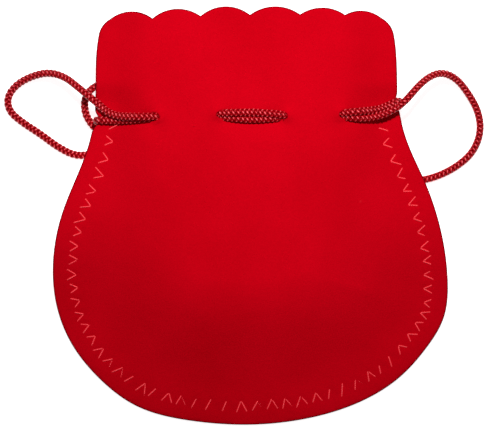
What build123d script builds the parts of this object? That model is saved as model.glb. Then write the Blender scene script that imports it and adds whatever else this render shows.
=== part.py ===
"""Drawstring gift pouch of red velvet, lying flat on its back.

Millimetres. +X is to the right of the pouch, +Y runs from its round bottom to its scalloped mouth and +Z
is up, away from the back panel. The origin is on the surface it lies on, under the middle of the pouch.
Two panels of velvet are sewn together along the sides and the bottom. Two cords lace through four holes
in each panel: the left one leaves at the left edge as a pull loop, the right one at the right edge.
"""

import math
import os

from build123d import *

# Velvet
CLOTH = 0.8  # thickness of a panel
SEAM_GAP = 0.1  # between the two panels where they are sewn
PILE = 0.15  # how far a stitch sinks into the pile

# Cords
CORD_R = 0.95
HOLES_X = (-23.9, -8.6, 9.4, 22.0)
HOLES_Y = 24.95
HOLE_LENGTH, HOLE_WIDTH, HOLE_CORNER = 5.6, 4.9, 1.2

# The back panel, seen from the side: flat on the table, then rising over the knots to the neck
RISE_START, RISE_END = -30.0, 4.0
FLOOR_Z = CLOTH / 2
NECK_Z = 6.3
BACK_FOLD_Y = 35.5
FRONT_FOLD_Y = 32.0
FOLD_GAP = 0.65
BACK_DROOP = 6.0  # degrees that the back flap hangs below level

# The front panel, which domes over the pocket
TOP_Z = 12.1
BODY_SLOPE = (6.6, 30.0)  # the dome starts this far inside the edge, and takes this far to rise
NECK_SLOPE = (3.0, 11.0)
SLOPE_CHANGE_Y = (-20.0, 26.0)
SIDE_OPENING = 1.9  # how far the loose sides of the mouth stand apart
SIDE_OPENING_Y = (27.5, 34.0)
GRID = 2.5  # spacing of the points that the dome is made through
GRID_COLUMNS, GRID_ROWS = 21, 22  # on each side of the origin
DOME_ERROR = 0.02

# Blocks that cut the panels reach past them by far
REACH = 60.0
BLOCK_LOW, BLOCK_HEIGHT = -5, 30

# Outline of a panel
LEFT_SIDE = [
    (-37.8, 45.6), (-38.6, 37.5), (-38.7, 29.5), (-40.3, 18.4), (-43.9, 8.8), (-47.3, 0.0),
    (-49.4, -11.5), (-48.4, -23.2), (-44.6, -32.4), (-38.0, -40.6), (-28.8, -47.5), (-15.0, -51.3),
]
RIGHT_SIDE = [
    (35.8, 45.6), (36.6, 37.5), (36.9, 29.5), (39.2, 18.8), (43.6, 8.8), (47.2, -1.6),
    (49.4, -14.5), (48.4, -25.8), (44.2, -33.0), (37.6, -40.3), (28.6, -46.1), (14.0, -50.8),
]
BOTTOM = (-0.4, -52.3)
SIDE_STARTS = [(-0.2, -1), (-0.2, 1)]  # the way the sides run at their two ends
VALLEYS = [(-24.4, 49.3), (-12.4, 49.9), (-0.1, 50.2), (12.4, 50.3), (23.6, 50.2)]
PEAKS = [(-18.2, 51.7), (-6.2, 52.3), (6.2, 52.3), (18.2, 52.0)]
LEFT_CORNER = [(-29.6, 51.1), (-34.9, 49.3), (-36.7, 47.8)]
RIGHT_CORNER = [(27.6, 51.3), (32.6, 49.6), (34.6, 48.0)]

# Stitching
STITCH_INSET = 4.8
STITCH_HALF = 1.4
STITCH_STEP = 2.0
STITCH_TOP_Y = 22.6
THREAD = 0.35

# A corner of a cord's route takes this share of its shorter run on each side
ROUNDED_SHARE = 0.45

# Knots and cord ends
KNOT_R, KNOT_LENGTH, KNOT_ROUND = 2.75, 6.4, 1.9
LEFT_KNOT = (-34.1, 17.0)
RIGHT_KNOT = (36.4, 9.4)

# Levels of a cord's middle: over the front panel, inside it, inside the back panel and under it
OVER, IN_FRONT, IN_BACK, UNDER = 13.8, 10.45, 7.95, 4.6
EDGE_OVER, EDGE_MIDDLE = 8.9, 6.75

# Routes of the cords, point by point. Each cord is split halfway along the run where it meets the part that
# is pulled. The left cord starts and ends at the left edge, and the right cord at the right edge.
LEFT_FRONT_SPLIT = (-38.45, 28.4, 9.3)
LEFT_BACK_SPLIT = (-28.65, 27.8, 4.5)
RIGHT_FRONT_SPLIT = (37.0, 27.4, 10.75)
RIGHT_BACK_SPLIT = (26.8, 23.3, 4.55)
LEFT_LACED = [
    LEFT_FRONT_SPLIT, (-37.0, 27.2, 9.2), (-34.3, 25.5, 9.4), (-31.4, 25.1, 10.7), (-26.1, 25.95, 13.9),
    (-21.7, 25.95, IN_FRONT), (-16.3, 26.15, 10.4), (-10.8, 25.95, IN_FRONT), (-6.4, 25.95, OVER),
    (0.4, 25.6, 14.0), (7.2, 25.95, OVER), (11.6, 25.95, IN_FRONT), (15.7, 26.15, 10.4),
    (19.8, 25.95, IN_FRONT), (24.2, 26.0, 13.9), (29.0, 26.5, 11.1), (31.9, 27.2, 9.5), (34.9, 28.2, 8.9),
    (37.84, 28.7, EDGE_OVER), (39.08, 28.8, EDGE_MIDDLE), (37.84, 28.8, UNDER),
    (33.8, 27.9, 4.5), (29.4, 26.4, UNDER), (24.2, 25.95, UNDER), (19.8, 25.95, IN_BACK),
    (15.7, 26.15, 8.0), (11.6, 25.95, IN_BACK), (7.2, 25.95, UNDER), (0.4, 25.6, 4.5),
    (-6.4, 25.95, UNDER), (-10.8, 25.95, IN_BACK), (-16.3, 26.15, 8.0), (-21.7, 25.95, IN_BACK),
    (-26.1, 26.0, UNDER), LEFT_BACK_SPLIT,
]
RIGHT_LACED = [
    RIGHT_FRONT_SPLIT, (35.3, 26.1, 9.8), (32.3, 24.8, 9.7), (29.3, 24.2, 11.1), (24.2, 23.9, 13.9),
    (19.8, 23.95, IN_FRONT), (15.7, 23.75, 10.4), (11.6, 23.95, IN_FRONT), (7.2, 23.95, OVER),
    (0.4, 23.55, 14.0), (-6.4, 23.95, OVER), (-10.8, 23.95, IN_FRONT), (-16.3, 23.75, 10.4),
    (-21.7, 23.95, IN_FRONT), (-26.1, 23.9, 13.9), (-31.2, 23.1, 10.8), (-34.0, 23.0, 9.3),
    (-36.9, 23.5, 8.9), (-39.69, 23.8, EDGE_OVER), (-40.93, 23.7, EDGE_MIDDLE), (-39.69, 23.6, UNDER),
    (-35.8, 23.3, 4.5), (-31.2, 23.4, UNDER), (-26.1, 23.95, UNDER), (-21.7, 23.95, IN_BACK),
    (-16.3, 23.75, 8.0), (-10.8, 23.95, IN_BACK), (-6.4, 23.95, UNDER), (0.4, 23.55, 4.5),
    (7.2, 23.95, UNDER), (11.6, 23.95, IN_BACK), (15.7, 23.75, 8.0), (19.8, 23.95, IN_BACK),
    (24.2, 23.9, UNDER), RIGHT_BACK_SPLIT,
]
LEFT_LOOP = [
    LEFT_FRONT_SPLIT, (-39.9, 29.6, 9.4), (-43.0, 32.2, 8.6), (-46.4, 34.9, 6.4), (-50.6, 36.1, 4.2),
    (-55.2, 35.0, 2.4), (-59.0, 32.8, 1.4), (-61.1, 29.6, CORD_R), (-60.4, 26.2, CORD_R),
    (-57.0, 23.4, CORD_R), (-52.6, 20.6, CORD_R), (-48.4, 17.4, CORD_R), (-43.9, 15.1, CORD_R),
    (-39.8, 15.5, 1.5), (-36.6, 16.8, 2.4),
]
RIGHT_LOOP = [
    RIGHT_FRONT_SPLIT, (38.7, 28.7, 11.7), (41.1, 31.6, 11.2), (44.2, 34.6, 8.8), (47.8, 36.1, 6.2),
    (51.6, 34.6, 3.9), (54.7, 30.8, 2.2), (57.3, 26.2, 1.2), (57.9, 21.0, CORD_R), (55.8, 15.8, CORD_R),
    (51.2, 12.0, CORD_R), (46.2, 9.7, CORD_R), (41.8, 8.8, 1.5), (38.8, 9.2, 2.3),
]
LEFT_RETURN = [
    LEFT_BACK_SPLIT, (-31.2, 29.6, 4.4), (-34.4, 32.7, 4.4), (-38.4, 33.1, 4.3), (-41.4, 30.3, 3.8),
    (-41.6, 26.2, 2.6), (-39.9, 23.0, 2.1), (-37.2, 20.5, 2.3), (-35.2, 18.4, 2.6),
]
RIGHT_RETURN = [
    RIGHT_BACK_SPLIT, (29.4, 22.7, 4.5), (33.6, 20.4, 4.3), (36.0, 16.6, 3.6), (36.4, 11.8, 2.9),
]
LEFT_ENDS = [
    [(-31.9, 17.9, 2.1), (-28.2, 19.0, 1.1), (-24.6, 18.0, CORD_R)],
    [(-31.9, 16.1, 2.1), (-28.6, 14.6, 1.1), (-25.0, 15.2, CORD_R)],
]
RIGHT_ENDS = [
    [(34.2, 10.3, 2.1), (30.6, 11.6, 1.1), (27.0, 10.8, CORD_R)],
    [(34.2, 8.5, 2.1), (31.0, 6.9, 1.1), (27.4, 7.3, CORD_R)],
]


def smooth(value, low, high):
    """0 below low, 1 above high, and an even S-curve between."""
    part = min(max((value - low) / (high - low), 0.0), 1.0)
    return part * part * (3 - 2 * part)


def rise_radius():
    """Radius of the two arcs that lift the back panel from the table to the neck."""
    run, lift = RISE_END - RISE_START, NECK_Z - FLOOR_Z
    return (run**2 + lift**2) / (4 * lift)


def back_height(y):
    """Height of the back panel's middle layer, without the flap's droop."""
    radius, middle = rise_radius(), (RISE_START + RISE_END) / 2
    if y <= middle:
        return FLOOR_Z + radius - math.sqrt(radius**2 - max(y - RISE_START, 0) ** 2)
    return NECK_Z - radius + math.sqrt(radius**2 - max(RISE_END - y, 0) ** 2)


def side_curve():
    """The edge from the left end of the mouth, round the bottom and up to its right end."""
    return Spline(*LEFT_SIDE, BOTTOM, *reversed(RIGHT_SIDE), tangents=SIDE_STARTS).edge()


def side_edge():
    """The side curve, carried straight up past the mouth at both ends."""
    left_start = Edge.make_line((LEFT_SIDE[0][0], REACH), LEFT_SIDE[0])
    right_end = Edge.make_line(RIGHT_SIDE[0], (RIGHT_SIDE[0][0], REACH))
    return Wire([left_start, side_curve(), right_end])


def panel_plan():
    """Plan of a panel with its six scallops."""
    edges = [side_curve()]
    edges.append(ThreePointArc(VALLEYS[0], LEFT_CORNER[0], LEFT_CORNER[1]).edge())
    edges.append(ThreePointArc(LEFT_CORNER[1], LEFT_CORNER[2], LEFT_SIDE[0]).edge())
    for start, peak, end in zip(VALLEYS, PEAKS, VALLEYS[1:]):
        edges.append(ThreePointArc(start, peak, end).edge())
    edges.append(ThreePointArc(VALLEYS[-1], RIGHT_CORNER[0], RIGHT_CORNER[1]).edge())
    edges.append(ThreePointArc(RIGHT_CORNER[1], RIGHT_CORNER[2], RIGHT_SIDE[0]).edge())
    return make_face(edges)


def plan_prism(plan, low_y, high_y):
    """The stretch of the plan between two lines across it, as a tall block."""
    middle = (low_y + high_y) / 2
    band = Pos(0, middle, 0) * Rectangle(2 * REACH, high_y - low_y)
    return Pos(0, 0, BLOCK_LOW) * extrude(plan & band, BLOCK_HEIGHT)


def hole_cutters():
    """The four cord holes, as tall slots."""
    slot = RectangleRounded(HOLE_LENGTH, HOLE_WIDTH, HOLE_CORNER)
    return [Pos(x, HOLES_Y, BLOCK_LOW) * extrude(slot, BLOCK_HEIGHT) for x in HOLES_X]


def back_slab(low, high):
    """A layer that follows the back panel across its whole width, between two offsets from its middle."""
    radius, middle = rise_radius(), (RISE_START + RISE_END) / 2
    half_z = (FLOOR_Z + NECK_Z) / 2
    lean = math.radians(BACK_DROOP)
    drop = (REACH - BACK_FOLD_Y) * math.tan(lean)

    def profile(offset):
        start = Line((-REACH, FLOOR_Z + offset), (RISE_START, FLOOR_Z + offset))
        lift = RadiusArc((RISE_START, FLOOR_Z + offset), (middle, half_z + offset), -radius)
        settle = RadiusArc((middle, half_z + offset), (RISE_END, NECK_Z + offset), radius)
        neck = Line((RISE_END, NECK_Z + offset), (BACK_FOLD_Y, NECK_Z + offset))
        flap = Line((BACK_FOLD_Y, NECK_Z + offset), (REACH, NECK_Z + offset - drop))
        return [part.edge() for part in (start, lift, settle, neck, flap)]

    ends = [
        Line((-REACH, FLOOR_Z + low), (-REACH, FLOOR_Z + high)).edge(),
        Line((REACH, NECK_Z + low - drop), (REACH, NECK_Z + high - drop)).edge(),
    ]
    section = Plane.YZ * make_face(profile(low) + profile(high) + ends)
    return Pos(-REACH, 0, 0) * extrude(section, 2 * REACH, dir=(1, 0, 0))


def front_height(edge, plan, x, y):
    """Height of the front panel's middle layer."""
    past_mouth = y > LEFT_SIDE[0][1] and LEFT_SIDE[0][0] < x < RIGHT_SIDE[0][0]
    inside = plan.is_inside((x, y, 0)) or past_mouth
    depth = edge.distance_to(Vertex(x, y, 0)) if inside else 0.0
    neck = smooth(y, *SLOPE_CHANGE_Y)
    start = BODY_SLOPE[0] + (NECK_SLOPE[0] - BODY_SLOPE[0]) * neck
    width = BODY_SLOPE[1] + (NECK_SLOPE[1] - BODY_SLOPE[1]) * neck
    lowest = back_height(y) + CLOTH + SEAM_GAP + SIDE_OPENING * smooth(y, *SIDE_OPENING_Y)
    return lowest + (TOP_Z - lowest) * smooth(depth, start, start + width)


def front_slab(plan):
    """The domed layer of the front panel, across its whole width."""
    edge = side_edge()
    columns = [GRID * i for i in range(-GRID_COLUMNS, GRID_COLUMNS + 1)]
    rows = [GRID * i for i in range(-GRID_ROWS, GRID_ROWS + 1)]
    points = [[(x, y, front_height(edge, plan, x, y) - CLOTH / 2) for x in columns] for y in rows]
    face = Face.make_surface_from_array_of_points(points, tol=DOME_ERROR)
    return Solid.extrude(face, Vector(0, 0, CLOTH))


def stitch_line(edge):
    """Zigzag line of the stitches in plan, a set distance inside the sewn edge."""
    steps = int(edge.length / STITCH_STEP)
    points = []
    for i in range(steps):
        place, along = edge.position_at(i / steps), edge.tangent_at(i / steps)
        inward = Vector(-along.Y, along.X, 0)
        reach = STITCH_INSET + (STITCH_HALF if i % 2 else -STITCH_HALF)
        point = place + inward * reach
        if point.Y < STITCH_TOP_Y:
            points.append(point)
    return points


def zigzag_prism(points):
    """A thread along the zigzag line, as a tall ribbon."""
    ribbon = Sketch()
    for start, end in zip(points, points[1:]):
        run = end - start
        stitch = Rectangle(run.length + THREAD, THREAD)
        middle = (start + end) * 0.5
        ribbon += Pos(middle.X, middle.Y, 0) * Rot(0, 0, math.degrees(math.atan2(run.Y, run.X))) * stitch
    return Pos(0, 0, BLOCK_LOW) * extrude(ribbon, BLOCK_HEIGHT)


def corner_radii(points, split_start, split_end):
    """The largest radius that the two runs at each corner of a route allow. A split run counts whole."""
    runs = [after - before for before, after in zip(points, points[1:])]
    lengths = [run.length for run in runs]
    lengths[0] *= 2 if split_start else 1
    lengths[-1] *= 2 if split_end else 1
    turns = [math.radians(before.get_angle(after)) for before, after in zip(runs, runs[1:])]
    shorter = [min(pair) for pair in zip(lengths, lengths[1:])]
    return [ROUNDED_SHARE * run / math.tan(turn / 2) for run, turn in zip(shorter, turns)]


def cord(name, route, split_start=False, split_end=False):
    """A round cord along a route of straight runs joined by tangent arcs."""
    points = [Vector(point) for point in route]
    radii = corner_radii(points, split_start, split_end)
    path = FilletPolyline(*points, radius=radii)
    section = Plane(origin=path @ 0, z_dir=path % 0) * Circle(CORD_R)
    tube = sweep(section, path=path)
    expected = math.pi * CORD_R**2 * path.length
    print(f"{name}: length {path.length:.1f}, volume / expected {tube.volume / expected:.4f}")
    print("  radii", " ".join(f"{radius:.1f}" for radius in radii))
    return tube


def knot(place):
    """An overhand knot in two strands, as a barrel with rounded ends, lying along X."""
    barrel = fillet(Cylinder(KNOT_R, KNOT_LENGTH).edges(), KNOT_ROUND)
    return Pos(place[0], place[1], KNOT_R) * Rot(0, 90, 0) * barrel


def panels():
    """The two panels, cut at the lines where their flaps fold, and the two threads of the seam."""
    plan = panel_plan()
    front, back = front_slab(plan), back_slab(-CLOTH / 2, CLOTH / 2)
    threads = zigzag_prism(stitch_line(side_edge()))
    over_seam = CLOTH * 1.5 + SEAM_GAP
    return {
        "front_panel": front & (plan_prism(plan, -REACH, FRONT_FOLD_Y - FOLD_GAP) - hole_cutters()),
        "front_flap": front & plan_prism(plan, FRONT_FOLD_Y, REACH),
        "back_panel": back & (plan_prism(plan, -REACH, BACK_FOLD_Y - FOLD_GAP) - hole_cutters()),
        "back_flap": back & plan_prism(plan, BACK_FOLD_Y, REACH),
        "seam_needle_thread": back_slab(over_seam - PILE, over_seam + THREAD - PILE) & threads,
        "seam_bobbin_thread": back_slab(-CLOTH / 2 + PILE / 2, -CLOTH / 2 + PILE / 2 + THREAD) & threads,
    }


def cords():
    """The two cords, each split where the part that is pulled meets the part that is laced."""
    return {
        "left_cord_laced": cord("left_cord_laced", LEFT_LACED, split_start=True, split_end=True),
        "right_cord_laced": cord("right_cord_laced", RIGHT_LACED, split_start=True, split_end=True),
        "left_pull_loop": cord("left_pull_loop", LEFT_LOOP, split_start=True),
        "right_pull_loop": cord("right_pull_loop", RIGHT_LOOP, split_start=True),
        "left_return_strand": cord("left_return_strand", LEFT_RETURN, split_start=True),
        "right_return_strand": cord("right_return_strand", RIGHT_RETURN, split_start=True),
        "left_knot": knot(LEFT_KNOT),
        "right_knot": knot(RIGHT_KNOT),
        "left_cord_ends": Compound([cord("left_cord_end", route) for route in LEFT_ENDS]),
        "right_cord_ends": Compound([cord("right_cord_end", route) for route in RIGHT_ENDS]),
    }


os.makedirs("parts", exist_ok=True)
for node, solid in (panels() | cords()).items():
    export_step(solid, f"parts/{node}.step")
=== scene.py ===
"""Looks of the velvet drawstring pouch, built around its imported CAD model.

Metres, in the frame of the CAD: the pouch lies on its back on z = 0, with its mouth towards +Y.
"""

import math
import random
from collections import namedtuple

import bpy
import numpy as np
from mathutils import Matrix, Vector, noise
from mathutils.geometry import delaunay_2d_cdt


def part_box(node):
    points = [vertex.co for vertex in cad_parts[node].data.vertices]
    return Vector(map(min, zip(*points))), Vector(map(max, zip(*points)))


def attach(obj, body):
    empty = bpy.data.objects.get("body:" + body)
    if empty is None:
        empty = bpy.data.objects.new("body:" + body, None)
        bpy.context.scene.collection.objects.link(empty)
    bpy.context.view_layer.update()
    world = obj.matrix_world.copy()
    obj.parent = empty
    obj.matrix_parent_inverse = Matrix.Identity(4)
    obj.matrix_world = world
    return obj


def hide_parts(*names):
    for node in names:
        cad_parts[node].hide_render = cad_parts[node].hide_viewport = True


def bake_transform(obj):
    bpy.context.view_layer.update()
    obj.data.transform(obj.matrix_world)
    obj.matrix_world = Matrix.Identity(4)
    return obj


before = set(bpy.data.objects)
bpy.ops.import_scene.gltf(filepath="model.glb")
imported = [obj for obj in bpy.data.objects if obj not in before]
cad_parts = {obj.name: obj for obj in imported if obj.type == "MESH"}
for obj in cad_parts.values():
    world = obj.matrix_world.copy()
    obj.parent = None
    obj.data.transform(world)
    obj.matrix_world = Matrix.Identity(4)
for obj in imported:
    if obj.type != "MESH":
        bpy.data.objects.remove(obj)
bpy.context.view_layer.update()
MM = 0.001

# Cloth
CLOTH = 0.8 * MM
SEAM_GAP = 0.1 * MM
MESH_STEP = 0.75 * MM
CLEAR_OF_EDGE, CLEAR_OF_HOLE = 0.5 * MESH_STEP, 0.4 * MESH_STEP
EDGE_STEP = 0.6 * MM
EDGE_LIP = 0.22 * MM  # the faces of a panel stop this far inside its cut edge
HOLE_SIDES = 24
REST_APART = 10 * MM  # between the pile's texture and the inner face's
PILE_SLOT, INNER_SLOT, CUT_SLOT = 0, 1, 2

# The back panel, seen from the side, and the dome of the front panel
RISE_START, RISE_END = -0.03, 0.004
FLOOR_Z = CLOTH / 2
NECK_Z = 6.3 * MM
TOP_Z = 12.1 * MM
FRONT_FOLD, BACK_FOLD = (0.032, 2.2 * MM), (0.0355, 1.6 * MM)  # (y, how far the fold reaches on each side)
BACK_DROOP = math.radians(6)
BODY_SLOPE, NECK_SLOPE = (6.6 * MM, 30 * MM), (3 * MM, 11 * MM)  # (how far inside the edge it starts, width)
SLOPE_CHANGE_Y = (-0.02, 0.026)
SIDE_OPENING = 1.9 * MM
SIDE_OPENING_Y = (0.0275, 0.034)
PAST_MOUTH = 20 * MM  # the sewn edge is run on this far to measure depths

# Slow waves of the soft cloth, and dents where the seam pulls on it
WAVES_PER_METRE, FINE_WAVES_PER_METRE = 55, 160
FINE_SHARE = 0.45
FINE_SEED = 9
FRONT_WAVE, BACK_WAVE = 0.16 * MM, 0.05 * MM
FRONT_SEED, BACK_SEED = 3.0, 17.0
LOOSE_DEPTH = (1 * MM, 9 * MM)
SEWN_SHARE = 0.25  # of a full wave, beside the edge
BACK_WAVE_Y = (-0.02, 0.01)
FRONT_DENT, BACK_DENT = 0.2 * MM, 0.12 * MM
DENT_WIDTH = 0.55 * MM
DENT_REACH = 4 * MM

# Slits of the cords. Over a stretch that shows, the cords lie outside the cloth
FRONT_HOLES = ((-0.0239, 0.02475), (-0.0071, 0.0253), (0.008, 0.02495), (0.0235, 0.02535))
FRONT_HOLE_HALF = (1.35 * MM, 1.0 * MM)
BACK_HOLES = ((-0.0239, 0.02495), (-0.0086, 0.02495), (0.0094, 0.02495), (0.022, 0.02495))
BACK_HOLE_HALF = (2.0 * MM, 2.1 * MM)
HOLE_MARGIN = 0.7 * MM
FAR_OUT = 1.0  # beyond either side of the pouch
BESIDE_FRONT = (8.3 * MM, 20 * MM)  # heights of the cords that lie against the front panel
BESIDE_BACK = ((0, 5.2 * MM), (5.2 * MM, 8.3 * MM))  # outside and inside the back panel

# Where, in radii of the cord, the cloth leaves a cord that presses on it, and how steeply
HUG_ACROSS, HUG_UP, HUG_SLOPE = 0.8, 0.6, 1.3
HUG_PASSES = 26
HUG_REACH, HUG_STEP, HUG_GAP = 6 * MM, 0.35 * MM, 0.05 * MM

# The tight cords draw the edge in where they wrap round it: (side, y, how far, half width)
NOTCHES = ((-1, 0.0239, 1.5 * MM, 1.6 * MM), (1, 0.0287, 0.75 * MM, 1.5 * MM))
NOTCH_EDGE_X = 0.0385
NOTCH_DEPTH = 8 * MM

# Outline of a panel
SIDE_DIRECTIONS = ((-0.2, -1), (-0.2, 1))  # in which the sewn edge leaves the mouth and comes back to it
LEFT_SIDE = [
    (-0.0378, 0.0456), (-0.0386, 0.0375), (-0.0387, 0.0295), (-0.0403, 0.0184), (-0.0439, 0.0088),
    (-0.0473, 0.0), (-0.0494, -0.0115), (-0.0484, -0.0232), (-0.0446, -0.0324), (-0.038, -0.0406),
    (-0.0288, -0.0475), (-0.015, -0.0513),
]
RIGHT_SIDE = [
    (0.0358, 0.0456), (0.0366, 0.0375), (0.0369, 0.0295), (0.0392, 0.0188), (0.0436, 0.0088),
    (0.0472, -0.0016), (0.0494, -0.0145), (0.0484, -0.0258), (0.0442, -0.033), (0.0376, -0.0403),
    (0.0286, -0.0461), (0.014, -0.0508),
]
BOTTOM = (-0.0004, -0.0523)
VALLEYS = [(-0.0244, 0.0493), (-0.0124, 0.0499), (-0.0001, 0.0502), (0.0124, 0.0503), (0.0236, 0.0502)]
PEAKS = [(-0.0182, 0.0517), (-0.0062, 0.0523), (0.0062, 0.0523), (0.0182, 0.052)]
LEFT_CORNER = [(-0.0296, 0.0511), (-0.0349, 0.0493), (-0.0367, 0.0478)]
RIGHT_CORNER = [(0.0276, 0.0513), (0.0326, 0.0496), (0.0346, 0.048)]

# Stitching. The spans by which stitches vary, and half a stitch's width, are in mm
STITCH_INSET = 4.8 * MM
STITCH_PERIOD = 4.0 * MM
STITCH_HALF = 1.4
STITCH_IN, STITCH_OUT = 1.3 * MM, 1.1 * MM
STITCH_TOP_Y = 0.0242
STITCH_SEED, NEEDLE_SEED, BOBBIN_SEED = 5, 11, 12
MIDDLE_VARIES, ALONG_VARIES, HALF_VARIES = (-0.15, 0.15), (-0.25, 0.25), (-0.3, 0.3)
IN_VARIES, OUT_VARIES = (-0.35, 0.1), (-0.3, 0.4)
LOOSE_BELOW = -0.033  # below this the stitches reach nearer the edge, and every other one sinks in the pile
LOOSE_NEARER = 0.5 * MM
LOOSE_SINKS = (0.12, 0.44)
UNEVEN = 0.28 * MM
STITCH_BOW, STITCH_DIVE = 0.17 * MM, 0.42 * MM
STITCH_RINGS = 13
FRONT_SINK, BACK_SINK = 0.1 * MM, 0.25 * MM  # how deep a thread lies in the pile
THREAD_R = 0.18 * MM
PLY_R = 0.56 * THREAD_R
PLY_APART = 0.85  # radii of a ply from the middle of the thread
PLY_SIDES = 6
PLY_TWIST = 0.9 * MM

# Cords
CORD_R = 0.95 * MM
IN_FRONT, IN_BACK, UNDER, EDGE_MIDDLE = 0.01045, 0.00795, 0.0046, 0.00675  # heights of a cord
FEED_START = 24.5 * MM  # a cord pays out from here to its pull loop
FINE_STEP = 0.1 * MM
NURBS_STEPS = 24
BRAID_STEP = 0.22 * MM
BRAID_PITCH = 3.3 * MM
BRAID_STRANDS = 3  # each way round
BRAID_START = 0.25  # of the way from one strand to the next
CORE_R, CORE_SIDES = 0.66 * CORD_R, 10
STRAND_WIDE, STRAND_THICK, STRAND_WAVE = 0.47 * CORD_R, 0.25 * CORD_R, 0.13 * CORD_R
STRAND_REACH = CORD_R - STRAND_THICK - 0.4 * STRAND_WAVE
STRAND_SIDES = 7
# How narrow the painted highlight on a strand's crest is
HIGHLIGHT_POWER = 5
FIBRE_STRETCH, FIBRE_SHIFT = 1.5, 0.013
FIBRE_TURN = 1 / 7
KNOT_POINTS = 240
TREFOIL_REACH, TREFOIL_DEPTH = 2.9, 0.95
TIP_STEP, TIP_SIDES = 0.12 * MM, 14
TIP_FROM, BRAID_TO = 0.9, 0.93  # shares of a cord end

# Routes of the cords
LEFT_FRONT_SPLIT = (-0.03845, 0.0284, 0.0093)
LEFT_BACK_SPLIT = (-0.02865, 0.0278, 0.0045)
RIGHT_FRONT_SPLIT = (0.037, 0.0274, 0.01075)
RIGHT_BACK_SPLIT = (0.0268, 0.0233, 0.00455)
LEFT_LACED = [
    LEFT_FRONT_SPLIT, (-0.0369, 0.027, 0.0094), (-0.0351, 0.0256, 0.01), (-0.0326, 0.0249, 0.0112),
    (-0.0296, 0.0248, 0.0127), (-0.0266, 0.0247, 0.0137), (-0.0214, 0.02495, 0.0109),
    (-0.0168, 0.0257, IN_FRONT), (-0.0125, 0.02585, IN_FRONT), (-0.0096, 0.0257, 0.0109),
    (-0.0044, 0.02575, 0.0139), (0.0004, 0.0259, 0.0134), (0.0053, 0.02555, 0.0138),
    (0.0105, 0.02505, 0.011), (0.0152, 0.0258, IN_FRONT), (0.0184, 0.0257, IN_FRONT),
    (0.0208, 0.02545, 0.0109), (0.026, 0.026, 0.0137), (0.0294, 0.0263, 0.0119), (0.0326, 0.0268, 0.0101),
    (0.0349, 0.0279, 0.0091), (0.0366, 0.0286, 0.0087), (0.0375, 0.02875, EDGE_MIDDLE),
    (0.0366, 0.0288, 0.0048), (0.0338, 0.0279, 0.0045), (0.0294, 0.0264, UNDER), (0.0242, 0.02595, UNDER),
    (0.0198, 0.02595, IN_BACK), (0.0157, 0.02615, 0.008), (0.0116, 0.02595, IN_BACK),
    (0.0072, 0.02595, UNDER), (0.0004, 0.0256, 0.0045), (-0.0064, 0.02595, UNDER),
    (-0.0108, 0.02595, IN_BACK), (-0.0163, 0.02615, 0.008), (-0.0217, 0.02595, IN_BACK),
    (-0.0261, 0.026, UNDER), LEFT_BACK_SPLIT,
]
RIGHT_LACED = [
    RIGHT_FRONT_SPLIT, (0.0353, 0.0264, 0.011), (0.0328, 0.0252, 0.0108), (0.0295, 0.02455, 0.0114),
    (0.026, 0.02445, 0.0127), (0.0208, 0.02505, 0.0096), (0.0184, 0.0243, 0.0102),
    (0.0152, 0.0239, IN_FRONT), (0.0105, 0.02475, 0.0097), (0.0053, 0.0244, 0.0126),
    (0.0004, 0.02405, 0.0129), (-0.0044, 0.02445, 0.0126), (-0.0096, 0.0251, 0.0097),
    (-0.0125, 0.0241, 0.0102), (-0.0168, 0.0239, IN_FRONT), (-0.0214, 0.0247, 0.0097),
    (-0.0266, 0.0243, 0.012), (-0.0296, 0.024, 0.0109), (-0.0326, 0.0239, 0.0094),
    (-0.0355, 0.02395, 0.0086), (-0.0379, 0.024, 0.0086), (-0.0386, 0.0239, EDGE_MIDDLE),
    (-0.0379, 0.0238, 0.0048), (-0.0352, 0.0234, 0.0045), (-0.0312, 0.0234, UNDER),
    (-0.0261, 0.02395, UNDER), (-0.0217, 0.02395, IN_BACK), (-0.0163, 0.02375, 0.008),
    (-0.0108, 0.02395, IN_BACK), (-0.0064, 0.02395, UNDER), (0.0004, 0.02355, 0.0045),
    (0.0072, 0.02395, UNDER), (0.0116, 0.02395, IN_BACK), (0.0157, 0.02375, 0.008),
    (0.0198, 0.02395, IN_BACK), (0.0242, 0.0239, UNDER), RIGHT_BACK_SPLIT,
]
LEFT_LOOP = [
    LEFT_FRONT_SPLIT, (-0.0399, 0.0296, 0.0094), (-0.043, 0.0322, 0.0086), (-0.0464, 0.0349, 0.0064),
    (-0.0506, 0.0361, 0.0042), (-0.0552, 0.035, 0.0024), (-0.059, 0.0328, 0.0014),
    (-0.0611, 0.0296, CORD_R), (-0.0604, 0.0262, CORD_R), (-0.057, 0.0234, CORD_R),
    (-0.0526, 0.0206, CORD_R), (-0.0484, 0.0174, CORD_R), (-0.0439, 0.0151, CORD_R),
    (-0.0398, 0.0155, 0.0015), (-0.0366, 0.0168, 0.0024),
]
RIGHT_LOOP = [
    RIGHT_FRONT_SPLIT, (0.0387, 0.0287, 0.0117), (0.0411, 0.0316, 0.0112), (0.0442, 0.0346, 0.0088),
    (0.0478, 0.0361, 0.0062), (0.0516, 0.0346, 0.0039), (0.0547, 0.0308, 0.0022), (0.0573, 0.0262, 0.0012),
    (0.0579, 0.021, CORD_R), (0.0558, 0.0158, CORD_R), (0.0512, 0.012, CORD_R), (0.0462, 0.0097, CORD_R),
    (0.0418, 0.0088, 0.0015), (0.0388, 0.0092, 0.0023),
]
LEFT_RETURN = [
    LEFT_BACK_SPLIT, (-0.0312, 0.0296, 0.0044), (-0.0344, 0.0327, 0.0044), (-0.0384, 0.0331, 0.0043),
    (-0.0414, 0.0303, 0.0038), (-0.0416, 0.0262, 0.0026), (-0.0399, 0.023, 0.0021),
    (-0.0372, 0.0205, 0.0023), (-0.0352, 0.0184, 0.0026),
]
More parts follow.
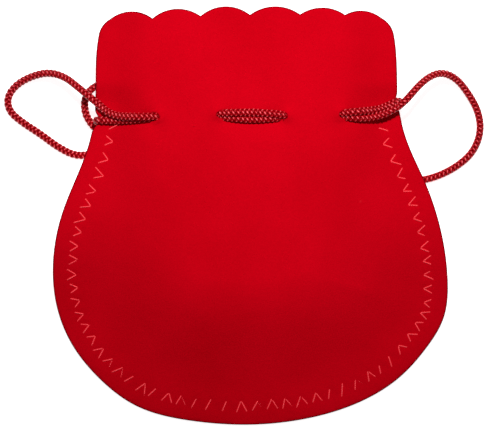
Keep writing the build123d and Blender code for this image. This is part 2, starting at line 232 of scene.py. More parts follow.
RIGHT_RETURN = [
    RIGHT_BACK_SPLIT, (0.0294, 0.0227, 0.0045), (0.0336, 0.0204, 0.0043), (0.036, 0.0166, 0.0036),
    (0.0364, 0.0118, 0.0029),
]
LEFT_ENDS = [
    [(-0.0319, 0.0179, 0.0021), (-0.0282, 0.019, 0.0011), (-0.0246, 0.018, CORD_R)],
    [(-0.0319, 0.0161, 0.0021), (-0.0286, 0.0146, 0.0011), (-0.025, 0.0152, CORD_R)],
]
RIGHT_ENDS = [
    [(0.0342, 0.0103, 0.0021), (0.0306, 0.0116, 0.0011), (0.027, 0.0108, CORD_R)],
    [(0.0342, 0.0085, 0.0021), (0.031, 0.0069, 0.0011), (0.0274, 0.0073, CORD_R)],
]

# Camera and light
VIEW_WIDTH, VIEW_DISTANCE = 0.1211, 1.6
VIEW_CENTRE = (-0.001825, 0.000425)
KEY_PLACE, KEY_TARGET = (0.02, 0.34, 0.93), (0.0, 0.032, 0)
KEY_SPREAD, KEY_OVAL = math.radians(13.2), (1.15, 1.0, 1.0)
KEY_SOFTNESS, KEY_POWER = 0.05, 45.5
SKY_STRENGTH = 0.16
FLOOR_HALF = 1.5
FLOOR_DROP = 0.05 * MM

# Colours
PILE_DARK, PILE, PILE_LIGHT = (0.535, 0.0003, 0.0062), (0.56, 0.0004, 0.007), (0.59, 0.0005, 0.0078)
PILE_SHEEN = (1.0, 0.01, 0.03, 1)
LINT = (0.7, 0.03, 0.035)
# Cut edge: the base cloth, darkened further as painted shade along the outline
CUT_DARK, CUT, CUT_LIGHT = (0.06, 0.0002, 0.002), (0.1, 0.001, 0.006), (0.18, 0.0004, 0.004)
WEAVE_DARK, WEAVE, WEAVE_LIGHT = (0.28, 0.002, 0.008), (0.4, 0.004, 0.012), (0.46, 0.005, 0.015)
TIP_DARK, TIP, TIP_LIGHT = (0.02, 0.0005, 0.002), (0.05, 0.001, 0.005), (0.09, 0.002, 0.01)
PAPER = (0.93, 0.93, 0.93)
WHITE = (1, 1, 1, 1)
YARN_TINT = (1.0, 0.3, 0.36, 1)
# Of a yarn: painted shade between the strands, the colour on them, and a painted highlight where they stand
# proud; the plies of a seam thread stand half proud all along
CORD_COLOURS = ((0.19, 0.0003, 0.002), (0.5, 0.0008, 0.006), (1.0, 0.17, 0.2))
THREAD_COLOURS = ((0.95, 0.02, 0.03), (1.0, 0.06, 0.08), (1.0, 0.12, 0.15))


# ---------------- materials


def material(name, base, roughness):
    """A new node material, its node tree and its Principled shader."""
    made = bpy.data.materials.new(name)
    made.use_nodes = True
    shader = made.node_tree.nodes["Principled BSDF"]
    shader.inputs["Base Color"].default_value = (*base, 1)
    shader.inputs["Roughness"].default_value = roughness
    return made, made.node_tree, shader


def add(tree, kind, **values):
    """A node with its settings, and its inputs by name."""
    node = tree.nodes.new(kind)
    for key, value in values.items():
        if key in node.inputs:
            node.inputs[key].default_value = value
        else:
            setattr(node, key, value)
    return node


def rest_place(tree, name="flat"):
    """Where a point of the cloth or cord was before it bent."""
    return add(tree, "ShaderNodeAttribute", attribute_name=name).outputs["Vector"]


def noise_at(tree, place, scale, detail=2.0, rough=0.5):
    """A value that varies from place to place."""
    node = add(tree, "ShaderNodeTexNoise", Scale=scale, Detail=detail, Roughness=rough)
    tree.links.new(place, node.inputs["Vector"])
    return node.outputs["Fac"]


def ramp(tree, value, *stops):
    """A colour ramp of (position, colour) stops."""
    node = tree.nodes.new("ShaderNodeValToRGB")
    elements = node.color_ramp.elements
    while len(elements) < len(stops):
        elements.new(0.5)
    for element, (position, colour) in zip(elements, stops):
        element.position = position
        element.color = (*colour, 1)
    tree.links.new(value, node.inputs["Fac"])
    return node.outputs["Color"]


def grey_ramp(tree, value, *stops):
    """A ramp of (position, grey level) stops."""
    return ramp(tree, value, *((position, (level, level, level)) for position, level in stops))


def mix(tree, first, second, kind="MULTIPLY", factor=1.0):
    """Two colours multiplied, or mixed in another way. factor is a number or a socket."""
    node = add(tree, "ShaderNodeMix", data_type="RGBA", blend_type=kind)
    sockets = [s for s in node.inputs if s.enabled]
    for socket, value in zip(sockets, (factor, first, second)):
        if isinstance(value, bpy.types.NodeSocket):
            tree.links.new(value, socket)
        else:
            socket.default_value = value if isinstance(value, float) else (*value, 1)
    return [s for s in node.outputs if s.enabled][0]


def bump(tree, shader, height, strength, distance):
    """Adds a layer of bump over those that the shader already has."""
    node = add(tree, "ShaderNodeBump", Strength=strength, Distance=distance)
    tree.links.new(height, node.inputs["Height"])
    normal = shader.inputs["Normal"]
    if normal.links:
        tree.links.new(normal.links[0].from_socket, node.inputs["Normal"])
    tree.links.new(node.outputs["Normal"], normal)


def lint(tree, place):
    """How much a rare small speck covers the pile."""
    specks = add(tree, "ShaderNodeTexVoronoi", Scale=210.0, Randomness=1.0)
    tree.links.new(place, specks.inputs["Vector"])
    near = grey_ramp(tree, specks.outputs["Distance"], (0.05, 1), (0.11, 0))
    rare = grey_ramp(tree, noise_at(tree, place, scale=130.0, detail=1.0), (0.66, 0), (0.72, 0.55))
    return mix(tree, near, rare)


def velvet():
    """Short flocked pile: a nap that shades softly, fine fibre grain and a few specks of lint."""
    made, tree, shader = material("velvet", PILE, roughness=0.95)
    place = rest_place(tree)
    nap = noise_at(tree, place, scale=55.0, detail=3.0)
    patches = noise_at(tree, place, scale=16.0)
    grain = noise_at(tree, place, scale=2600.0, rough=0.7)
    tufts = noise_at(tree, place, scale=420.0, detail=3.0)
    colour = ramp(tree, nap, (0.3, PILE_DARK), (0.7, PILE_LIGHT))
    colour = mix(tree, colour, grey_ramp(tree, patches, (0.35, 0.93), (0.65, 1.0)))
    colour = mix(tree, colour, grey_ramp(tree, grain, (0.3, 0.91), (0.7, 1.05)))
    colour = mix(tree, colour, LINT, "MIX", lint(tree, place))
    tree.links.new(colour, shader.inputs["Base Color"])
    shader.inputs["Sheen Weight"].default_value = 0.2
    shader.inputs["Sheen Roughness"].default_value = 0.4
    shader.inputs["Sheen Tint"].default_value = PILE_SHEEN
    shader.inputs["Specular IOR Level"].default_value = 0.0
    bump(tree, shader, grain, strength=0.5, distance=0.15 * MM)
    bump(tree, shader, tufts, strength=0.25, distance=0.25 * MM)
    return made


def cut_edge():
    """The die-cut edge, where the base cloth shows under the pile, coloured much darker than the inner
    face's base cloth as painted shade along the outline.
    """
    made, tree, shader = material("velvet_cut_edge", CUT, roughness=0.9)
    place = rest_place(tree)
    colour = ramp(tree, noise_at(tree, place, scale=1500.0), (0.3, CUT_DARK), (0.7, CUT_LIGHT))
    tree.links.new(colour, shader.inputs["Base Color"])
    shader.inputs["Specular IOR Level"].default_value = 0.0
    bump(tree, shader, noise_at(tree, place, scale=2200.0), strength=0.6, distance=0.1 * MM)
    return made


def lining():
    """The unflocked inner face: a fine woven base cloth."""
    made, tree, shader = material("base_cloth", WEAVE, roughness=0.85)
    place = rest_place(tree)
    threads = []
    for direction in ("X", "Y"):
        wave = add(tree, "ShaderNodeTexWave", Scale=500.0, Distortion=0.4, bands_direction=direction)
        tree.links.new(place, wave.inputs["Vector"])
        threads.append(wave.outputs["Color"])
    height = mix(tree, *threads)
    colour = ramp(tree, height, (0.1, WEAVE_DARK), (0.7, WEAVE_LIGHT))
    tree.links.new(colour, shader.inputs["Base Color"])
    shader.inputs["Specular IOR Level"].default_value = 0.05
    bump(tree, shader, height, strength=0.5, distance=0.12 * MM)
    return made


def filaments_along(tree, place):
    """Fine filaments along a strand, from its own coordinates: round it, along it and its crest."""
    stretched = add(tree, "ShaderNodeVectorMath", operation="MULTIPLY")
    tree.links.new(place, stretched.inputs[0])
    stretched.inputs[1].default_value = (9.0, 900.0, 1.0)
    return noise_at(tree, stretched.outputs["Vector"], scale=1.0, rough=0.6)


def filament_and_highlight(tree, place, filaments):
    """How much painted highlight a point takes: half its filament and all of the strand's crest, where it
    stands proud.
    """
    split = tree.nodes.new("ShaderNodeSeparateXYZ")
    tree.links.new(place, split.inputs["Vector"])
    highlight_amount = add(tree, "ShaderNodeMath", operation="MULTIPLY_ADD")
    tree.links.new(filaments, highlight_amount.inputs[0])
    highlight_amount.inputs[1].default_value = 0.5
    tree.links.new(split.outputs["Z"], highlight_amount.inputs[2])
    return highlight_amount.outputs["Value"]


def yarn(name, colours, roughness, ior, painted_glow):
    """Satin filaments along a strand, with a painted highlight where it stands proud, painted shade where it
    does not, and a painted glow in its own colour.
    """
    shaded, light, highlight = colours
    made, tree, shader = material(name, light, roughness)
    place = rest_place(tree, "fibre")
    filaments = filaments_along(tree, place)
    blotches = noise_at(tree, place, scale=90.0)
    # Painted shade where a strand does not stand proud, painted highlight on its crest
    colour = ramp(tree, filament_and_highlight(tree, place, filaments), (0.3, shaded), (0.8, light), (1.0, highlight))
    colour = mix(tree, colour, grey_ramp(tree, blotches, (0.35, 0.75), (0.65, 1.1)))
    tree.links.new(colour, shader.inputs["Base Color"])
    shader.inputs["IOR"].default_value = ior
    shader.inputs["Specular IOR Level"].default_value = 0.7
    shader.inputs["Specular Tint"].default_value = YARN_TINT
    # Painted glow: the yarn gives off light in its own colour, though it is no lamp
    shader.inputs["Emission Color"].default_value = (*light, 1)
    shader.inputs["Emission Strength"].default_value = painted_glow
    bump(tree, shader, filaments, strength=0.55, distance=0.05 * MM)
    return made


def melted():
    """The heat-sealed tip of a cord."""
    made, tree, shader = material("melted_tip", TIP, roughness=0.3)
    place = rest_place(tree, "fibre")
    colour = ramp(tree, noise_at(tree, place, scale=700.0), (0.3, TIP_DARK), (0.7, TIP_LIGHT))
    tree.links.new(colour, shader.inputs["Base Color"])
    bump(tree, shader, noise_at(tree, place, scale=1200.0), strength=0.4, distance=0.1 * MM)
    return made


def studio_floor():
    """Plain white paper."""
    made, tree, shader = material("paper", PAPER, roughness=0.8)
    grain = add(tree, "ShaderNodeTexNoise", Scale=60.0, Detail=3.0)
    colour = grey_ramp(tree, grain.outputs["Fac"], (0.3, 0.925), (0.7, 0.94))
    tree.links.new(colour, shader.inputs["Base Color"])
    shader.inputs["Emission Color"].default_value = WHITE
    shader.inputs["Emission Strength"].default_value = 0.86
    return made


# ---------------- lines and pieces


def unit(vectors):
    """The vectors, made 1 long."""
    return vectors / np.linalg.norm(vectors, axis=-1, keepdims=True)


def distances(line):
    """How far along a line each of its points is."""
    return np.concatenate([[0], np.cumsum(np.linalg.norm(np.diff(line, axis=0), axis=1))])


def even(line, step):
    """The line with its points evenly spaced, and their distance along it."""
    along = distances(line)
    keep = np.concatenate([[True], np.diff(along) > 1e-9])
    places = np.linspace(0, along[-1], max(3, int(along[-1] / step) + 1))
    return np.column_stack([np.interp(places, along[keep], line[keep, k]) for k in range(3)]), places


def smooth(value, low, high):
    """0 below low, 1 above high, and an S between them."""
    part = np.clip((value - low) / (high - low), 0, 1)
    return part * part * (3 - 2 * part)


def oval(across, up, sides):
    """(turns, points) of an oval round the origin, whose edge the two directions reach."""
    turn = 2 * math.pi * np.arange(sides) / sides
    return turn, across[..., None, :] * np.cos(turn)[:, None] + up[..., None, :] * np.sin(turn)[:, None]


def in_scene(name, data):
    """A new object, linked to the scene."""
    made = bpy.data.objects.new(name, data)
    bpy.context.scene.collection.objects.link(made)
    return made


def mesh_piece(name, verts, faces, rest, rest_name, materials, slots=None):
    """A smooth mesh piece whose points carry their rest place: "flat" on cloth, and on a strand "fibre",
    which is how far round and along it they are and how proud they stand."""
    mesh = bpy.data.meshes.new(name)
    mesh.from_pydata([tuple(v) for v in verts], [], faces)
    carried = mesh.attributes.new(rest_name, "FLOAT_VECTOR", "POINT")
    carried.data.foreach_set("vector", np.array(rest, np.float32).ravel())
    for made in materials:
        mesh.materials.append(made)
    if slots:
        mesh.polygons.foreach_set("material_index", slots)
    mesh.polygons.foreach_set("use_smooth", [True] * len(mesh.polygons))
    return in_scene(name, mesh)


# ---------------- plan of a panel


def slopes_through(knots, gaps, start, end):
    """Slopes at the knots of the smooth cubic through them, with the given end directions."""
    count = len(knots)
    matrix, side = np.zeros((count, count)), np.zeros((count, 2))
    matrix[0, 0] = matrix[-1, -1] = 1
    side[0], side[-1] = unit(np.array(start)), unit(np.array(end))
    for i in range(1, count - 1):
        before, after = gaps[i - 1], gaps[i]
        matrix[i, i - 1 : i + 2] = 1 / before, 2 / before + 2 / after, 1 / after
        side[i] = 3 * (knots[i] - knots[i - 1]) / before**2 + 3 * (knots[i + 1] - knots[i]) / after**2
    return np.linalg.solve(matrix, side)


def curve_through(points, start, end, step):
    """A smooth cubic through the points, by length, with the given end directions."""
    knots = np.array(points, float)
    gaps = np.linalg.norm(np.diff(knots, axis=0), axis=1)
    along = np.concatenate([[0], np.cumsum(gaps)])
    slopes = slopes_through(knots, gaps, start, end)
    places = np.linspace(0, along[-1], int(along[-1] / step) + 1)
    cell = np.clip(np.searchsorted(along, places, side="right") - 1, 0, len(knots) - 2)
    t = ((places - along[cell]) / gaps[cell])[:, None]
    width = gaps[cell][:, None]
    return (
        knots[cell] * (2 * t**3 - 3 * t**2 + 1)
        + slopes[cell] * width * (t**3 - 2 * t**2 + t)
        + knots[cell + 1] * (3 * t**2 - 2 * t**3)
        + slopes[cell + 1] * width * (t**3 - t**2)
    )


def circle_centre(first, middle, last):
    """Centre of the circle through three points."""
    (ax, ay), (bx, by), (cx, cy) = first, middle, last
    d = 2 * (ax * (by - cy) + bx * (cy - ay) + cx * (ay - by))
    a2, b2, c2 = ax**2 + ay**2, bx**2 + by**2, cx**2 + cy**2
    return np.array([
        (a2 * (by - cy) + b2 * (cy - ay) + c2 * (ay - by)) / d,
        (a2 * (cx - bx) + b2 * (ax - cx) + c2 * (bx - ax)) / d,
    ])


def arc_through(first, middle, last, step):
    """Points of the arc through three points, without its last one."""
    centre = circle_centre(first, middle, last)
    angles = [math.atan2(p[1] - centre[1], p[0] - centre[0]) for p in (first, middle, last)]
    for i in (1, 2):
        while angles[i] - angles[i - 1] > math.pi:
            angles[i] -= 2 * math.pi
        while angles[i] - angles[i - 1] < -math.pi:
            angles[i] += 2 * math.pi
    radius = math.dist(first, centre)
    steps = max(2, int(abs(angles[2] - angles[0]) * radius / step))
    turn = np.linspace(angles[0], angles[2], steps, endpoint=False)
    return centre + radius * np.column_stack([np.cos(turn), np.sin(turn)])


def outline():
    """(the sewn edge, the closed outline), both from the left of the mouth. Arcs run along the mouth:
    two for each corner and one for each scallop."""
    side = curve_through(LEFT_SIDE + [BOTTOM] + RIGHT_SIDE[::-1], *SIDE_DIRECTIONS, EDGE_STEP)
    scallops = [point for pair in zip(VALLEYS[::-1], PEAKS[::-1]) for point in pair]
    chain = [RIGHT_SIDE[0], *RIGHT_CORNER[::-1], *scallops, VALLEYS[0], *LEFT_CORNER, LEFT_SIDE[0]]
    arcs = [arc_through(*chain[i : i + 3], EDGE_STEP) for i in range(0, len(chain) - 1, 2)]
    return side, np.concatenate([side[:-1], *arcs])


def distance_to_run(points, start, run):
    """Distance of each point from one straight run."""
    offset = points - start
    part = np.clip(offset @ run / (run @ run), 0, 1)
    return np.linalg.norm(offset - part[:, None] * run, axis=1)


def distance_to_line(points, line, closed=False):
    """Distance of each point from a line of many short runs."""
    ends = np.roll(line, -1, axis=0) if closed else line[1:]
    starts = line if closed else line[:-1]
    nearest = np.full(len(points), np.inf)
    for start, run in zip(starts, ends - starts):
        nearest = np.minimum(nearest, distance_to_run(points, start, run))
    return nearest


def is_inside(points, loop):
    """Even-odd test of each point against a closed loop."""
    found = np.zeros(len(points), bool)
    for (ax, ay), (bx, by) in zip(loop, np.roll(loop, -1, axis=0)):
        if ay == by:
            continue
        crosses = (ay > points[:, 1]) != (by > points[:, 1])
        found ^= crosses & (points[:, 0] < (bx - ax) * (points[:, 1] - ay) / (by - ay) + ax)
    return found


def inset(loop, distance):
    """A closed loop moved inwards. The outline runs anticlockwise."""
    along = unit(np.roll(loop, -1, axis=0) - np.roll(loop, 1, axis=0))
    return loop + distance * np.column_stack([-along[:, 1], along[:, 0]])


def grid_points(loop, lip, holes):
    """A triangular grid over the outline, clear of its lip and holes."""
    low, high = loop.min(axis=0), loop.max(axis=0)
    row = MESH_STEP * math.sqrt(0.75)
    rows = []
    for j in range(int((high[1] - low[1]) / row) + 1):
        xs = np.arange(low[0] + (j % 2) * MESH_STEP / 2, high[0], MESH_STEP)
        rows.append(np.column_stack([xs, np.full(len(xs), low[1] + j * row)]))
    grid = np.concatenate(rows)
    clear = is_inside(grid, lip) & (distance_to_line(grid, lip, closed=True) > CLEAR_OF_EDGE)
    for hole in holes:
        clear &= ~is_inside(grid, hole) & (distance_to_line(grid, hole, closed=True) > CLEAR_OF_HOLE)
    return grid[clear]


def ring_edges(rings):
    """Edges of closed rings whose points are counted one ring after another."""
    edges, start = [], 0
    for ring in rings:
        edges += [(start + i, start + (i + 1) % len(ring)) for i in range(len(ring))]
        start += len(ring)
    return edges


def plan_mesh(loop, centres, half):
    """Points and triangles that fill the outline but for its holes. The outline's own points come first."""
    lip = inset(loop, EDGE_LIP)
    _, ring = oval(np.array([half[0], 0]), np.array([0, half[1]]), HOLE_SIDES)
    holes = [ring + centre for centre in centres]
    points = np.concatenate([lip, *holes, grid_points(loop, lip, holes)])
    found = delaunay_2d_cdt([Vector(p) for p in points], ring_edges([lip, *holes]), [], 0, 1e-7)
    flat = np.array([tuple(p) for p in found[0]])
    triangles = np.array([t for t in found[2] if len(t) == 3])
    middles = flat[triangles].mean(axis=1)
    keep = is_inside(middles, lip)
    for hole in holes:
        keep &= ~is_inside(middles, hole)
    return flat, triangles[keep], len(lip)


# ---------------- shape of the cloth


def back_height(y):
    """Height of the back panel's middle layer, without the droop of its flap."""
    run, lift, middle = RISE_END - RISE_START, NECK_Z - FLOOR_Z, (RISE_START + RISE_END) / 2
    radius = (run**2 + lift**2) / (4 * lift)
    low = FLOOR_Z + radius - np.sqrt(radius**2 - np.clip(y - RISE_START, 0, radius) ** 2)
    high = NECK_Z - radius + np.sqrt(radius**2 - np.clip(RISE_END - y, 0, radius) ** 2)
    return np.where(y <= middle, low, high)


def front_height(y, depth):
    """Height of the front panel's middle layer, at a distance inside the sewn edge."""
    neck = smooth(y, *SLOPE_CHANGE_Y)
    start = BODY_SLOPE[0] + (NECK_SLOPE[0] - BODY_SLOPE[0]) * neck
    width = BODY_SLOPE[1] + (NECK_SLOPE[1] - BODY_SLOPE[1]) * neck
    lowest = back_height(y) + CLOTH + SEAM_GAP + SIDE_OPENING * smooth(y, *SIDE_OPENING_Y)
    return lowest + (TOP_Z - lowest) * smooth(depth, start, start + width)


def depth_inside(points, side):
    """Distance inside the sewn edge, whose two ends run on past the mouth."""
    up = np.array([0, PAST_MOUTH])
    return distance_to_line(points, np.concatenate([[side[0] + up], side, [side[-1] + up]]))


def waviness(points, seed):
    """Slow waves of soft cloth with finer ones over them, between about -1 and 1."""
    slow, fine = points * WAVES_PER_METRE, points * FINE_WAVES_PER_METRE
    return np.array([
        noise.noise(Vector((*a, seed))) + FINE_SHARE * noise.noise(Vector((*b, seed + FINE_SEED)))
        for a, b in zip(slow, fine)
    ])


def stitch_marks(points, stitches):
    """How strongly the seam draws the cloth in at each point."""
    marks = np.zeros(len(points))
    for start, end, _ in stitches:
        close = np.abs(points - (start + end) / 2).max(axis=1) < DENT_REACH
        gap = distance_to_run(points[close], start, end - start)
        marks[close] = np.maximum(marks[close], np.exp(-((gap / DENT_WIDTH) ** 2)))
    return marks


def front_surface(points, depth, stitches):
    """Height of the front panel's middle layer where no cord presses on it."""
    loose = SEWN_SHARE + (1 - SEWN_SHARE) * smooth(depth, *LOOSE_DEPTH)
    z = front_height(points[:, 1], depth)
    z += FRONT_WAVE * waviness(points, FRONT_SEED) * loose
    z -= FRONT_DENT * stitch_marks(points, stitches)
    return z


def back_surface(points, depth, stitches):
    """Height of the back panel's middle layer where no cord presses on it. It is the same at any depth."""
    y = points[:, 1]
    z = back_height(y) - np.clip(y - BACK_FOLD[0], 0, None) * math.tan(BACK_DROOP)
    z += BACK_WAVE * waviness(points, BACK_SEED) * smooth(y, *BACK_WAVE_Y)
    z += BACK_DENT * stitch_marks(points, stitches)
    return z


# out is 1 for the panel whose pile faces up and -1 for the one whose pile faces down
Panel = namedtuple("Panel", "name surface out holes half fold_y fold_reach thread_sink")
FRONT = Panel("front", front_surface, 1, FRONT_HOLES, FRONT_HOLE_HALF, *FRONT_FOLD, FRONT_SINK)
BACK = Panel("back", back_surface, -1, BACK_HOLES, BACK_HOLE_HALF, *BACK_FOLD, BACK_SINK)


def cord_limit(points, line):
    """How high the cloth's middle has to be to clear a cord that passes under it."""
    shoulder = CORD_R * HUG_ACROSS
    limit = np.full(len(points), -np.inf)
    for x, y, z in line:
        near = np.flatnonzero(np.abs(points[:, 0] - x) + np.abs(points[:, 1] - y) < HUG_REACH)
        gap = np.hypot(points[near, 0] - x, points[near, 1] - y)
        over = np.sqrt(np.clip(CORD_R**2 - gap**2, 0, None))
        beside = HUG_UP * CORD_R - HUG_SLOPE * (gap - shoulder)
        rise = np.where(gap < shoulder, over, beside)
        limit[near] = np.maximum(limit[near], z + CLOTH / 2 + HUG_GAP + rise)
    return limit


def hug(points, triangles, z, outer, inner, out):
    """Bends a panel round the cords: it stays inside the outer ones and outside the inner ones."""
    free = out * z
    highest, lowest = np.full(len(z), np.inf), np.full(len(z), -np.inf)
    for line in outer:
        highest = np.minimum(highest, -cord_limit(points, line * (1, 1, -out)))
    for line in inner:
        lowest = np.maximum(lowest, cord_limit(points, line * (1, 1, out)))
    pairs = np.unique(np.sort(triangles[:, [0, 1, 1, 2, 2, 0]].reshape(-1, 2), axis=1), axis=0)
    count = np.bincount(pairs.ravel(), minlength=len(z)) + 1
    bent = np.maximum(np.minimum(free, highest), lowest)
    for _ in range(HUG_PASSES):
        moved = bent - free
        total = moved.copy()
        np.add.at(total, pairs[:, 0], moved[pairs[:, 1]])
        np.add.at(total, pairs[:, 1], moved[pairs[:, 0]])
        bent = np.maximum(np.minimum(free + total / count, highest), lowest)
    return out * bent


def outer_and_inner(lines, panel):
    """The stretches of cord outside a panel and those inside it, away from its holes."""
    edges = [-FAR_OUT, *(x for x, _ in panel.holes), FAR_OUT]
    found = ([], [])
    for line in lines:
        line, _ = even(line, HUG_STEP)
        for i in range(len(edges) - 1):
            low, high = BESIDE_FRONT if panel.out > 0 else BESIDE_BACK[i % 2]
            beside = (line[:, 2] > low) & (line[:, 2] < high)
            beside &= (line[:, 0] > edges[i] + HOLE_MARGIN) & (line[:, 0] < edges[i + 1] - HOLE_MARGIN)
            if beside.any():
                found[i % 2].append(line[beside])
    return found


def draw_in(points):
    """Plan points moved to where the cords pull the edge in."""
    moved = points.copy()
    for side, place, reach, width in NOTCHES:
        across = 1 - smooth(np.abs(points[:, 0] - side * NOTCH_EDGE_X), 0, NOTCH_DEPTH)
        moved[:, 0] -= side * reach * across * np.exp(-(((points[:, 1] - place) / width) ** 2))
    return moved


def surface_normals(flat, z, triangles):
    """Upward normals of a surface over the plan."""
    spots = np.column_stack([flat, z])
    first, second, third = (spots[triangles[:, k]] for k in range(3))
    faces = np.cross(second - first, third - first)
    faces *= np.sign(faces[:, 2:3])
    normals = np.zeros_like(spots)
    for corner in range(3):
        np.add.at(normals, triangles[:, corner], faces)
    return unit(normals)


def hole_edges(wound, rim):
    """The triangles' open edges that lie round the holes."""
    edges = [(t[k], t[(k + 1) % 3]) for t in wound for k in range(3)]
    known = set(edges)
    return [(i, j) for i, j in edges if (j, i) not in known and not (i < rim and j < rim)]


def cloth_faces(flat, triangles, rim, out):
    """(faces, material slots) of a panel: upper face, lower face, cut edge and walls of its holes."""
    count = len(flat)
    a, b, c = triangles.T
    up = np.cross(flat[b] - flat[a], flat[c] - flat[a]) > 0
    wound = np.where(up[:, None], triangles, triangles[:, ::-1])
    upper, lower = (PILE_SLOT, INNER_SLOT) if out > 0 else (INNER_SLOT, PILE_SLOT)
    faces = [tuple(t) for t in wound] + [tuple(t[::-1] + count) for t in wound]
    slots = [upper] * len(wound) + [lower] * len(wound)
    for i in range(rim):
        j = (i + 1) % rim
        edge_i, edge_j = 2 * count + i, 2 * count + j
        faces += [(edge_i, edge_j, j, i), (count + i, count + j, edge_j, edge_i)]
        slots += [CUT_SLOT, CUT_SLOT]
    walls = [(j, i, count + i, count + j) for i, j in hole_edges(wound, rim)]
    return faces + walls, slots + [PILE_SLOT] * len(walls)


def cloth(name, plan, loop, height, edge_height, out, materials):
    """A panel of real thickness: pile face, inner face and a cut edge that leans out between them."""
    flat, triangles, rim = plan
    rest, rest_edge = np.column_stack([flat, height]), np.column_stack([loop, edge_height])
    flat, loop = draw_in(flat), draw_in(loop)
    middle, edge = np.column_stack([flat, height]), np.column_stack([loop, edge_height])
    half = surface_normals(flat, height, triangles) * CLOTH / 2
    verts = np.concatenate([middle + half, middle - half, edge])
    rest_places = np.concatenate([rest, rest + (0, 0, REST_APART), rest_edge])
    faces, slots = cloth_faces(flat, triangles, rim, out)
    sheet = mesh_piece(name, verts, faces, rest_places, "flat", materials, slots)
    sheet.data.validate()
    return sheet


# ---------------- seam


def beside_edge(side, along, place, reach):
    """The plan point at a distance along the sewn edge and a reach inside the seam's middle line."""
    spots = np.array([place, place + MM, place - MM])
    here, ahead, behind = np.column_stack([np.interp(spots, along, side[:, k]) for k in (0, 1)])
    run = unit(ahead - behind)
    return here + (STITCH_INSET + reach) * np.array([-run[1], run[0]])


def seam_stitches(side, seed):
    """(start, end, is it sunk) of each stitch in plan. They meet in pairs at the inner needle hole."""
    draw = random.Random(seed)
    along = distances(side)
    stitches = []
    for i in range(int(along[-1] / STITCH_PERIOD)):
        middle = (i + 0.5) * STITCH_PERIOD + draw.uniform(*MIDDLE_VARIES) * MM
        place = middle + draw.uniform(*ALONG_VARIES) * MM
        inner = beside_edge(side, along, place, STITCH_IN + draw.uniform(*IN_VARIES) * MM)
        is_loose = inner[1] < LOOSE_BELOW
        nearer = LOOSE_NEARER if is_loose else 0
        for shift in (-1, 1):
            reach = -STITCH_OUT - nearer + draw.uniform(*OUT_VARIES) * MM
            place = middle + shift * (STITCH_HALF + draw.uniform(*HALF_VARIES)) * MM
            outer = beside_edge(side, along, place, reach)
            if max(inner[1], outer[1]) < STITCH_TOP_Y:
                stitches.append((inner, outer, shift > 0 and is_loose))
    return stitches


def stitch_line(start, end, panel, side, sunk):
    """Points of a stitch that bows a little over the pile and dives in at both ends."""
    t = np.linspace(0, 1, STITCH_RINGS)
    flat = start + (end - start) * t[:, None]
    face = panel.surface(flat, depth_inside(flat, side), []) + panel.out * (CLOTH / 2 - panel.thread_sink)
    rise = STITCH_BOW - sunk - STITCH_DIVE * np.abs(2 * t - 1) ** 6
    return np.column_stack([flat, face + panel.out * rise])


def ply(line, run, twist, half):
    """(points, faces, fibre) of one of the two plies that twist round a stitch's line."""
    across, up = np.array([-run[1], run[0], 0]), np.array([0, 0, 1.0])
    angle = (twist + half)[:, None]
    centre = line + PLY_R * PLY_APART * (np.cos(angle) * across + np.sin(angle) * up)
    turn, ring = oval(PLY_R * across, PLY_R * up, PLY_SIDES)
    along = np.linspace(0, 1, len(line)) * 2 * MM + half * MM
    fibre = [(around, place, 0.5) for place in along for around in turn * FIBRE_TURN]
    return (centre[:, None] + ring).reshape(-1, 3), strip_faces(len(line), PLY_SIDES), np.array(fibre)


def thread(name, node, panel, side, stitches, made, seed):
    """Two twisted plies for each stitch, on the outside of a panel."""
    draw = random.Random(seed)
    plies = []
    for start, end, is_sunk in stitches:
        sunk = draw.uniform(0.0, 1.0) ** 2 * UNEVEN
        if is_sunk:
            sunk += draw.uniform(*LOOSE_SINKS) * MM
        line = stitch_line(start, end, panel, side, sunk)
        length = np.linalg.norm(end - start)
        twist = draw.uniform(0, 6) + np.linspace(0, 1, STITCH_RINGS) * length / PLY_TWIST * 2 * math.pi
        plies += [ply(line, (end - start) / length, twist, half) for half in (0, math.pi)]
    piece = mesh_piece(name, *joined(plies), "fibre", [made])
    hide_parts(node)
    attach(piece, "pouch")


# ---------------- cords


def strip_faces(rings, sides):
    """Faces of a closed tube whose points are counted ring by ring."""
    faces = []
    for k in range(0, (rings - 1) * sides, sides):
        for m in range(sides):
            n = (m + 1) % sides
            faces.append((k + m, k + n, k + sides + n, k + sides + m))
    last = (rings - 1) * sides
    return faces + [tuple(reversed(range(sides))), tuple(range(last, last + sides))]


def joined(parts):
    """Several (points, faces, fibre) as one."""
    faces, base = [], 0
    for points, part_faces, _ in parts:
        faces += [tuple(base + i for i in face) for face in part_faces]
        base += len(points)
    return np.concatenate([part[0] for part in parts]), faces, np.concatenate([part[2] for part in parts])


def nurbs_line(route):
    """Points of the smooth NURBS line that has the route's points as its control points."""
    curve = bpy.data.curves.new("route", "CURVE")
    curve.dimensions = "3D"
    spline = curve.splines.new("NURBS")
    spline.points.add(len(route) - 1)
    for point, place in zip(spline.points, route):
        point.co = (*place, 1)
    spline.order_u = 3
    spline.use_endpoint_u = True
    spline.resolution_u = NURBS_STEPS
    holder = bpy.data.objects.new("route", curve)
    mesh = bpy.data.meshes.new_from_object(holder)
    line = np.array([v.co for v in mesh.vertices])
    bpy.data.objects.remove(holder)
    bpy.data.curves.remove(curve)
    bpy.data.meshes.remove(mesh)
    return line


def turning_frames(line):
    """Two directions across the line at each point, that turn with it and don't twist."""
    along = unit(np.gradient(line, axis=0))
    across = [unit(np.cross(along[0], (0, 0, 1.0)))]
    for run in along[1:]:
        across.append(unit(across[-1] - run * (across[-1] @ run)))
    across = np.array(across)
    return across, np.cross(along, across)


def tube(line, radius, sides, start=0.0):
    """(points, faces, fibre) of a closed tube."""
    across, up = turning_frames(line)
    reach = np.broadcast_to(radius, len(line))[:, None]
    _, ring = oval(across * reach, up * reach, sides)
    fibre = np.array([(m / sides, place, 0) for place in start + distances(line) for m in range(sides)])
    return (line[:, None] + ring).reshape(-1, 3), strip_faces(len(line), sides), fibre


